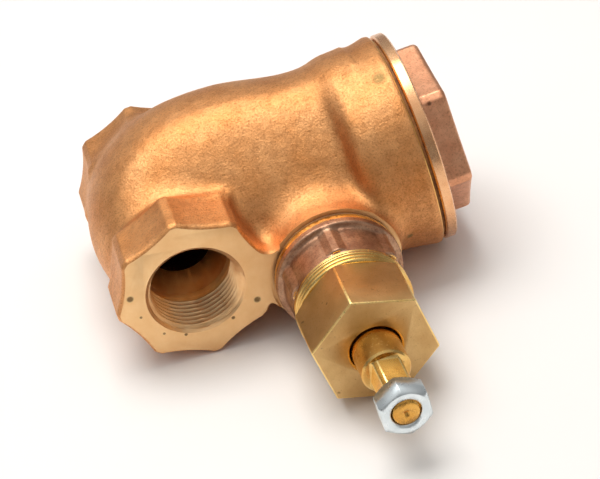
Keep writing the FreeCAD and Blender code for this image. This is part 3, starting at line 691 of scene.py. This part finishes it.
def valve_body():
    low = (-TUBE_RADIUS - 3, INLET_Y - 6, -LIP_RADIUS - 3)
    high = (LIP_X + 6, OUTLET_Y + 6, LIP_RADIUS + 3)
    body = cast("valve_body_casting", casting_field, low, high, CASTING_STEP)
    wide = 40
    facing = [
        drill("inlet_face", 24.5, -wide, INLET_Y, Y, (0, 0, 0)),
        drill("outlet_face", 24.5, 0, wide, Y, (0, OUTLET_Y, 0)),
        drill("spindle_boss_face", SPINDLE_BOSS_RADIUS + 0.2, -wide, BOSS_FACE_Y, Y, SPINDLE_AXIS),
        drill("lip_face", wide, LIP_X, LIP_X + wide, X, DISC_AXIS),
        lathe(
            "lip_land",
            [
                (LIP_X - 2.2, LIP_RADIUS), (LIP_X - 0.5, LIP_RADIUS), (LIP_X + 1, LIP_RADIUS - 1.5),
                (LIP_X + 1, wide), (LIP_X - 2.2, wide),
            ],
            X, DISC_AXIS,
        ),
    ]
    ports = port_cutters(INLET_Y, 1, INLET_CONE_LENGTH) + port_cutters(OUTLET_Y, -1, OUTLET_CONE_LENGTH)
    chambers = [
        drill("inlet_throat", THROAT_RADIUS, INLET_Y + 23, MIDDLE_Y, Y, (0, 0, 0)),
        drill("inlet_chamber", INLET_CHAMBER_RADIUS, -13, 9.5, X, DISC_AXIS),
        drill("seat_hole", SEAT_HOLE_RADIUS, 9, 15.5, X, DISC_AXIS),
        drill("spring_chamber", SPRING_CHAMBER_RADIUS, 15, BARREL_START + 0.2, X, DISC_AXIS),
        drill("barrel_bore", BARREL_BORE_RADIUS, BARREL_START, LIP_X + 1, X, DISC_AXIS),
        drill("bonnet_hole", BONNET_HOLE_RADIUS, BOSS_FACE_Y - 1, MIDDLE_Y, Y, SPINDLE_AXIS),
    ]
    passage = drill("outlet_passage", PASSAGE_RADIUS, 0, PASSAGE_LENGTH, X, (0, 0, 0))
    lean = Matrix.Rotation(math.radians(PASSAGE_LEAN), 4, "Z")
    passage.data.transform(Matrix.Translation(Vector((0, PASSAGE_Y * MM, 0))) @ lean)
    looks = [cast_bronze, face_bronze, lip_bronze, bore_bronze, painted_shade_inner_bronze]
    combine(body, facing[:3], "DIFFERENCE", looks, 1)
    combine(body, facing[3:], "DIFFERENCE", looks, 2)
    combine(body, ports, "DIFFERENCE", looks, 3)
    # The drilled chambers and the passage take the inner material, whose dark colour is painted shade.
    combine(body, chambers + [passage], "DIFFERENCE", looks, 4)
    shade(body, 32)
    return body


# ---- cap and its gasket ----

CAP_FLANGE_RADIUS = (cap_high[Z] - cap_low[Z]) / 2
CAP_SEAT_X = gasket_high[X]
CAP_HEX_START = CAP_SEAT_X + 3.3
CAP_END = cap_high[X]
CAP_HEX_FIRST_CORNER = 6.7
CAP_SHANK_RADIUS = 24.6
CAP_STEP = 0.42


def cap_field(points):
    along, across, up = split_axis(points, X, DISC_AXIS)
    radius = np.hypot(across, up)
    hexagon = polygon_field(across, up, 6, 21.7, 2.6, 0.35, CAP_HEX_FIRST_CORNER)
    hexagon = np.maximum(hexagon, radius - 24.4)
    head = capped(hexagon, along, CAP_SEAT_X, CAP_END - 0.05, 1.5)
    flange = capped(radius - CAP_FLANGE_RADIUS - 0.2, along, CAP_SEAT_X - 1, CAP_HEX_START, 0.5)
    shank = capped(radius - CAP_SHANK_RADIUS, along, cap_low[X], CAP_SEAT_X + 1, 0.8)
    return np.minimum(blend_min(head, flange, 1.4), shank)


def cap():
    low = (cap_low[X] - 1, cap_low[Y] - 1.5, cap_low[Z] - 1.5)
    high = (CAP_END + 1, cap_high[Y] + 1.5, cap_high[Z] + 1.5)
    piece = cast("cap_casting", cap_field, low, high, CAP_STEP)
    edge = 0.45
    clear = 40
    rim = CAP_FLANGE_RADIUS
    turning = [
        lathe(
            "rim_turning",
            [
                (cap_low[X] - 1, CAP_SHANK_RADIUS), (CAP_SEAT_X, CAP_SHANK_RADIUS),
                (CAP_SEAT_X, rim - edge), (CAP_SEAT_X + edge, rim), (CAP_HEX_START - edge, rim),
                (CAP_HEX_START + 0.2, rim - edge - 0.3), (CAP_HEX_START + 0.2, clear),
                (cap_low[X] - 1, clear),
            ],
            X, DISC_AXIS,
        ),
        lathe(
            "cap_coring",
            [
                (cap_low[X] - 1, 0), (cap_low[X] - 1, 19), (CAP_END - 5.4, 19), (CAP_END - 5.4, 8),
                (CAP_END - 10.15, 8), (CAP_END - 10.15, 5.5), (CAP_END - 2, 5.5), (CAP_END - 2, 0),
            ],
            X, DISC_AXIS,
        ),
    ]
    return combine(piece, turning, "DIFFERENCE", [cap_bronze, cap_rim])


def cap_gasket():
    inner = 24.8
    low, high = gasket_low[X] + 0.02, gasket_high[X] - 0.02
    outer = gasket_high[Z]
    profile = soften([(low, inner), (high, inner), (high, outer), (low, outer)], 0.25)
    return lathe("cap_gasket_ring", profile, X, DISC_AXIS)


# ---- bonnet, seal ring and packing nut ----

BONNET_FLANGE_RADIUS = (bonnet_high[Z] - bonnet_low[Z]) / 2
BONNET_STEP = 0.36
BONNET_HEX_START = BOSS_FACE_Y - 5.0
BONNET_NOSE_START = bonnet_low[Y] + 1.0


def bonnet_field(points):
    along, across, up = split_axis(points, Y, SPINDLE_AXIS)
    radius = np.hypot(across, up)
    hexagon = polygon_field(across, up, 6, 15.05, 0.7, 0.1, 0)
    hexagon = np.maximum(hexagon, radius - 16.9)
    head = capped(hexagon, along, BONNET_NOSE_START, BONNET_HEX_START + 2, 0.5)
    seat = bonnet_gasket_low[Y]
    flange = capped(radius - BONNET_FLANGE_RADIUS + 0.05, along, BONNET_HEX_START, seat, 0.6)
    nose = capped(radius - 15.9, along, bonnet_low[Y], BONNET_HEX_START, 0.25)
    shank = capped(radius - 12.95, along, seat - 1, bonnet_high[Y], 0.4)
    return np.minimum(blend_min(np.minimum(head, nose), flange, 1.2), shank)


def bonnet():
    low = bonnet_low - 1.0
    high = bonnet_high + 1.0
    piece = cast("bonnet_casting", bonnet_field, low, high, BONNET_STEP)
    front = bonnet_low[Y] - 1
    box_start, box_end, inside = -9.5, 3.5, bonnet_high[Y] + 1
    boring = lathe(
        "bonnet_boring",
        [
            (front, 0), (front, 12), (box_start, 12), (box_start, 10.5), (box_end, 10.5), (box_end, 6.7),
            (inside, 6.7), (inside, 0),
        ],
        Y, SPINDLE_AXIS,
    )
    collar = lathe(
        "bonnet_nose_turning",
        [
            (front, 15.75), (bonnet_low[Y] + 0.2, 15.75), (BONNET_NOSE_START, 16.05),
            (BONNET_NOSE_START + 0.12, 20), (front, 20),
        ],
        Y, SPINDLE_AXIS,
    )
    rim_radius = (bonnet_high[Z] - bonnet_low[Z]) / 2 - 0.1
    rim = lathe(
        "bonnet_rim_turning",
        [(-1.7, rim_radius), (1, rim_radius), (1, 24), (-1.7, 24)],
        Y, SPINDLE_AXIS,
    )
    return combine(piece, [boring, collar, rim], "DIFFERENCE", [bonnet_bronze, turned_brass])


def bonnet_gasket():
    low, high = bonnet_gasket_low[Y] + 0.02, bonnet_gasket_high[Y] - 0.02
    outer = (bonnet_gasket_high[Z] - bonnet_gasket_low[Z]) / 2
    profile = soften([(low, 13), (high, 13), (high, outer), (low, outer)], 0.2)
    return lathe("bonnet_gasket_ring", profile, Y, SPINDLE_AXIS)


def seal_ring():
    """Three rounded ribs side by side."""
    start, end = seal_low[Y] + 0.02, seal_high[Y] - 0.02
    outer = (seal_high[Z] - seal_low[Z]) / 2
    ribs = 3
    profile = [(end, 12.02), (start, 12.02)]
    for rib in range(ribs):
        for share in np.linspace(0.02, 0.98, 9):
            along = start + (end - start) * (rib + share) / ribs
            profile.append((along, outer - 1.0 + 1.0 * math.sin(math.pi * share) ** 0.6))
    return lathe("seal_ring_turning", profile, Y, SPINDLE_AXIS, smooth_angle=50)


NUT_CORNER_RADIUS = 17.35
NUT_BACK_Y = seal_low[Y]
NUT_BORE = 7.05


def bevelled_prism(name, outline, start, end, axis, centre, width, materials):
    """A prism whose edges carry a small worn bevel, on its third material."""
    piece = prism(name, outline, start, end, axis, centre)
    for material in materials:
        piece.data.materials.append(material)
    bevel = piece.modifiers.new("worn edges", "BEVEL")
    bevel.width = width * MM
    bevel.segments = 3
    bevel.limit_method = "ANGLE"
    bevel.angle_limit = math.radians(25)
    bevel.material = 2
    graph = bpy.context.evaluated_depsgraph_get()
    mesh = bpy.data.meshes.new_from_object(piece.evaluated_get(graph))
    piece.modifiers.clear()
    piece.data = mesh
    return piece


def packing_nut():
    outline = polygon(6, NUT_CORNER_RADIUS, 51)
    piece = bevelled_prism(
        "packing_nut_hexagon", outline, nut_low[Y], NUT_BACK_Y, Y, SPINDLE_AXIS, 0.38,
        [nut_brass, turned_brass, worn_edge],
    )
    back = NUT_BACK_Y
    chamfer = lathe(
        "nut_back_turning",
        [(back - 1.6, 17.6), (back + 0.01, 15.1), (back + 1, 15.1), (back + 1, 21), (back - 1.6, 21)],
        Y, SPINDLE_AXIS,
    )
    combine(piece, [chamfer], "DIFFERENCE", [nut_brass, turned_brass, worn_edge])
    spigot = lathe(
        "nut_spigot", [(back - 2, 0), (back - 2, 11.9), (nut_high[Y], 11.9), (nut_high[Y], 0)],
        Y, SPINDLE_AXIS,
    )
    combine(piece, [spigot], "UNION", [nut_brass, turned_brass, worn_edge])
    face = nut_low[Y]
    bore = lathe(
        "nut_boring",
        [
            (face - 1, 0), (face - 1, NUT_BORE + 1.5), (face + 0.5, NUT_BORE), (nut_high[Y] + 1, NUT_BORE),
            (nut_high[Y] + 1, 0),
        ],
        Y, SPINDLE_AXIS,
    )
    return combine(piece, [bore], "DIFFERENCE", [nut_brass, bore_brass, worn_edge])


# ---- spindle and lever nut ----

SHAFT_RADIUS = 6.6
SQUARE_START_Y = spindle_low[Y] + 7.1
SQUARE_END_Y = SQUARE_START_Y + 10.3
SQUARE_HALF_DIAGONAL = 4.96
STUD_RADIUS = 3.97
STUD_ROOT = 3.4
STUD_PITCH = 1.41


def rounded_square(half_width, corner_radius, turn_degrees):
    """Corners of a square turned off by a circle."""
    reach = math.sqrt(corner_radius**2 - half_width**2)
    start = math.atan2(reach, half_width)
    turn = math.radians(turn_degrees)
    outline = []
    for quarter in range(4):
        for share in np.linspace(0, 1, 4):
            angle = turn + quarter * math.pi / 2 + start + (math.pi / 2 - 2 * start) * share
            outline.append((corner_radius * math.cos(angle), corner_radius * math.sin(angle)))
    return outline


def spindle():
    centre = SPINDLE_AXIS
    square = bevelled_prism(
        "spindle_square", rounded_square(4.0, SQUARE_HALF_DIAGONAL, 17.6), SQUARE_START_Y,
        SQUARE_END_Y + 1, Y, centre, 0.25, [shaft_brass, turned_brass, worn_edge],
    )
    inner_start, collar_start = 11.0 + 1.0, 14.5
    shaft = lathe(
        "spindle_shaft",
        [
            (SQUARE_END_Y, 0), (SQUARE_END_Y, SHAFT_RADIUS - 0.5), (SQUARE_END_Y + 0.5, SHAFT_RADIUS),
            (inner_start, SHAFT_RADIUS), (inner_start, 9.5), (collar_start, 9.5), (collar_start, 4),
            (spindle_high[Y] - 0.4, 4), (spindle_high[Y], 3.6), (spindle_high[Y], 0),
        ],
        Y, centre,
    )
    stud = threaded_rod(
        "spindle_stud", STUD_ROOT, STUD_RADIUS - 0.03, STUD_PITCH, spindle_low[Y], 9, Y, centre, 64
    )
    tip = lathe(
        "stud_tip_turning",
        [
            (spindle_low[Y] - 1, 2.6), (spindle_low[Y], 3.25), (spindle_low[Y] + 1, 4.25),
            (spindle_low[Y] + 1, 6), (spindle_low[Y] - 1, 6),
        ],
        Y, centre, 64,
    )
    mark = lathe(
        "stud_centre_mark",
        [
            (spindle_low[Y] - 1, 0), (spindle_low[Y] - 1, 2.0), (spindle_low[Y] + 0.9, 0.1),
            (spindle_low[Y] + 0.9, 0),
        ],
        Y, centre, 48,
    )
    pin_hole = drill("pin_hole", 1, -8, 8, X, (SPINDLE_X, 21.75, SPINDLE_Z))
    looks = [shaft_brass, turned_brass, worn_edge, painted_shade_stud_brass]
    # The stud keeps the stud material, darkened with painted shade.
    combine(stud, [tip, mark], "DIFFERENCE", [painted_shade_stud_brass])
    combine(square, [stud], "UNION", looks, 3)
    combine(square, [shaft], "UNION", looks, 1)
    return combine(square, [pin_hole], "DIFFERENCE", looks)


def lever_nut():
    low, high = lever_nut_low[Y], lever_nut_high[Y]
    flat_radius = (lever_nut_high[X] - lever_nut_low[X]) / 2
    corner = flat_radius / math.cos(math.pi / 6)
    piece = bevelled_prism(
        "lever_nut_hexagon", polygon(6, corner, 0), low, high, Y, SPINDLE_AXIS, 0.12,
        [zinc_plate, zinc_plate, zinc_plate],
    )
    slope = math.tan(math.radians(30))
    waist = flat_radius - 0.35
    rise = (corner + 0.6 - waist) * slope
    turning = [
        lathe(
            f"nut_turning_{side}",
            [
                (end, waist), (end + side * rise, corner + 0.6), (end + side * rise, 12),
                (end - side, 12), (end - side, waist),
            ],
            Y, SPINDLE_AXIS, 96,
        )
        for end, side in ((low, 1), (high, -1))
    ]
    combine(piece, turning, "DIFFERENCE", [zinc_plate, zinc_plate, zinc_plate])
    mouth = STUD_RADIUS + 0.45
    hole = lathe(
        "nut_hole",
        [
            (low - 1, 0), (low - 1, mouth + 1), (low + 0.5, STUD_RADIUS + 0.02),
            (high - 0.5, STUD_RADIUS + 0.02),
            (high + 1, mouth + 1), (high + 1, 0),
        ],
        Y, SPINDLE_AXIS, 96,
    )
    return combine(piece, [hole], "DIFFERENCE", [zinc_plate, zinc_plate, zinc_plate])


# ---- the pieces, each on its body and in place of its CAD node ----

PIECES = [
    (valve_body, "valve_body", "body", "cast_bronze"),
    (cap, "cap", "body", "cap_bronze"),
    (cap_gasket, "cap_gasket", "body", "gasket"),
    (bonnet, "bonnet", "body", "bonnet_bronze"),
    (bonnet_gasket, "bonnet_gasket", "body", "gasket"),
    (seal_ring, "seal_ring", "body", "turned_brass"),
    (packing_nut, "packing_nut", "body", "packing_nut_brass"),
    (spindle, "spindle", "spindle", "turned_brass"),
    (lever_nut, "lever_nut", "spindle", "zinc_plate"),
]
SINGLE_MATERIAL = {
    "cap_gasket": gasket_fibre,
    "bonnet_gasket": gasket_fibre,
    "seal_ring": turned_brass,
}
for make, node, body, slot in PIECES:
    piece = make()
    if node in SINGLE_MATERIAL:
        piece.data.materials.append(SINGLE_MATERIAL[node])
    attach(piece, body)
    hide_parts(node)

INTERNAL_MATERIALS = {
    "seat_ring": bore_bronze,
    "seat_disc": seat_rubber,
    "disc_holder": turned_brass,
    "disc_washer": turned_brass,
    "disc_screw": shaft_brass,
    "lift_stem": shaft_brass,
    "lift_collar": turned_brass,
    "collar_jam_nut": turned_brass,
    "lower_spring_plate": lip_bronze,
    "main_spring": spring_steel,
    "upper_spring_plate": lip_bronze,
    "adjusting_ring": lip_bronze,
    "guide_bush": lip_bronze,
    "gland_follower": turned_brass,
    "packing_washer": turned_brass,
    "thrust_washer": turned_brass,
    "lift_finger": shaft_brass,
    "finger_pin": spring_steel,
    "packing_ring_1": packing_fibre,
    "packing_ring_2": packing_fibre,
    "packing_ring_3": packing_fibre,
}
for node, material in INTERNAL_MATERIALS.items():
    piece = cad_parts[node]
    for material_slot in piece.material_slots:
        material_slot.material = material
    if not piece.material_slots:
        piece.data.materials.append(material)


# ---- floor, light and camera ----
# Lengths in this section are metres, apart from those multiplied by MM.

FLOOR_NORMAL = Vector((0.128, 0.0014, 0.992)).normalized()
FLOOR_CONTACT = Vector((LIP_X, MIDDLE_Y, -LIP_RADIUS - 0.4)) * MM
FLOOR_HALF = 3.0

floor_mesh = bpy.data.meshes.new("floor")
floor_corners = [
    (-FLOOR_HALF, -FLOOR_HALF), (FLOOR_HALF, -FLOOR_HALF), (FLOOR_HALF, FLOOR_HALF),
    (-FLOOR_HALF, FLOOR_HALF),
]
floor_mesh.from_pydata([(x, y, 0.0) for x, y in floor_corners], [], [(0, 1, 2, 3)])
floor = bpy.data.objects.new("floor", floor_mesh)
floor.rotation_mode = "QUATERNION"
floor.rotation_quaternion = FLOOR_NORMAL.to_track_quat("Z", "Y")
floor.location = FLOOR_CONTACT
bpy.context.scene.collection.objects.link(floor)
paper = Look("pale floor", 0.0)
paper_tone = paper.level(paper.noise(60.0, 2.0), 0.3, 0.7)
floor_mesh.materials.append(
    paper.finish(paper.mix(paper_tone, colour(248, 245, 242), colour(250, 247, 244)), 0.7, [])
)


def area_light(name, location, target, size, power, tint=(1.0, 1.0, 1.0)):
    light = bpy.data.lights.new(name, "AREA")
    light.shape = "RECTANGLE"
    light.size, light.size_y = size
    light.energy = power
    light.color = tint
    lamp = bpy.data.objects.new(name, light)
    lamp.location = location
    lamp.rotation_mode = "QUATERNION"
    lamp.rotation_quaternion = (Vector(target) - Vector(location)).to_track_quat("-Z", "Y")
    bpy.context.scene.collection.objects.link(lamp)


AIM = (0.03, 0.02, 0.0)
area_light("overhead softbox", (0.03, 0.14, 0.60), AIM, (0.46, 0.34), 2.6, (1.0, 0.985, 0.96))
area_light("back softbox", (-0.35, 0.75, 0.45), AIM, (0.6, 0.4), 0.12)
area_light("front fill", (0.45, -0.75, 0.35), AIM, (0.5, 0.5), 0.15)

world = bpy.data.worlds.new("soft studio")
world.use_nodes = True
bpy.context.scene.world = world
sky = world.node_tree
background = sky.nodes["Background"]
direction = sky.nodes.new("ShaderNodeTexCoord").outputs["Generated"]
parts = sky.nodes.new("ShaderNodeSeparateXYZ")
sky.links.new(direction, parts.inputs[0])


def sky_range(socket, low, high, out_low, out_high):
    node = sky.nodes.new("ShaderNodeMapRange")
    sky.links.new(socket, node.inputs["Value"])
    for key, value in (("From Min", low), ("From Max", high), ("To Min", out_low), ("To Max", out_high)):
        node.inputs[key].default_value = value
    return node.outputs[0]


backward = sky_range(parts.outputs[Y], -1.0, 1.0, 0.21, 0.38)
upward = sky_range(parts.outputs[Z], 0.5, 1.0, 0.0, 0.75)
total = sky.nodes.new("ShaderNodeMath")
total.operation = "ADD"
sky.links.new(backward, total.inputs[0])
sky.links.new(upward, total.inputs[1])
sky.links.new(total.outputs[0], background.inputs["Strength"])
background.inputs["Color"].default_value = (1.0, 0.985, 0.965, 1.0)
seen = sky.nodes.new("ShaderNodeBackground")
seen.inputs["Color"].default_value = colour(253, 250, 247)
seen.inputs["Strength"].default_value = 1.0
choose = sky.nodes.new("ShaderNodeMixShader")
rays = sky.nodes.new("ShaderNodeLightPath")
sky.links.new(rays.outputs["Is Camera Ray"], choose.inputs[0])
sky.links.new(background.outputs[0], choose.inputs[1])
sky.links.new(seen.outputs[0], choose.inputs[2])
sky.links.new(choose.outputs[0], sky.nodes["World Output"].inputs["Surface"])

CAMERA_AZIMUTH = 3.9
CAMERA_ELEVATION = 35.95
CAMERA_ROLL = 18.3
CAMERA_DISTANCE = 0.5365
CAMERA_TARGET = Vector((30.9, 0.7, 3.3)) * MM
azimuth, elevation, roll = (math.radians(a) for a in (CAMERA_AZIMUTH, CAMERA_ELEVATION, CAMERA_ROLL))
forward = Vector(
    (math.sin(azimuth) * math.cos(elevation), math.cos(azimuth) * math.cos(elevation), -math.sin(elevation))
)
level_right = forward.cross(Vector((0, 0, 1))).normalized()
level_up = level_right.cross(forward)
up = level_up * math.cos(roll) + level_right * math.sin(roll)
right = forward.cross(up)
camera = bpy.data.objects.new("camera", bpy.data.cameras.new("camera"))
camera.data.lens = 120
camera.data.sensor_width = 36
camera.data.clip_start = 0.05
camera.data.clip_end = 20
camera.rotation_mode = "QUATERNION"
camera.rotation_quaternion = Matrix((right, up, -forward)).transposed().to_quaternion()
camera.location = CAMERA_TARGET - forward * CAMERA_DISTANCE
bpy.context.scene.collection.objects.link(camera)
bpy.context.scene.camera = camera
bpy.context.scene.view_settings.view_transform = "Standard"
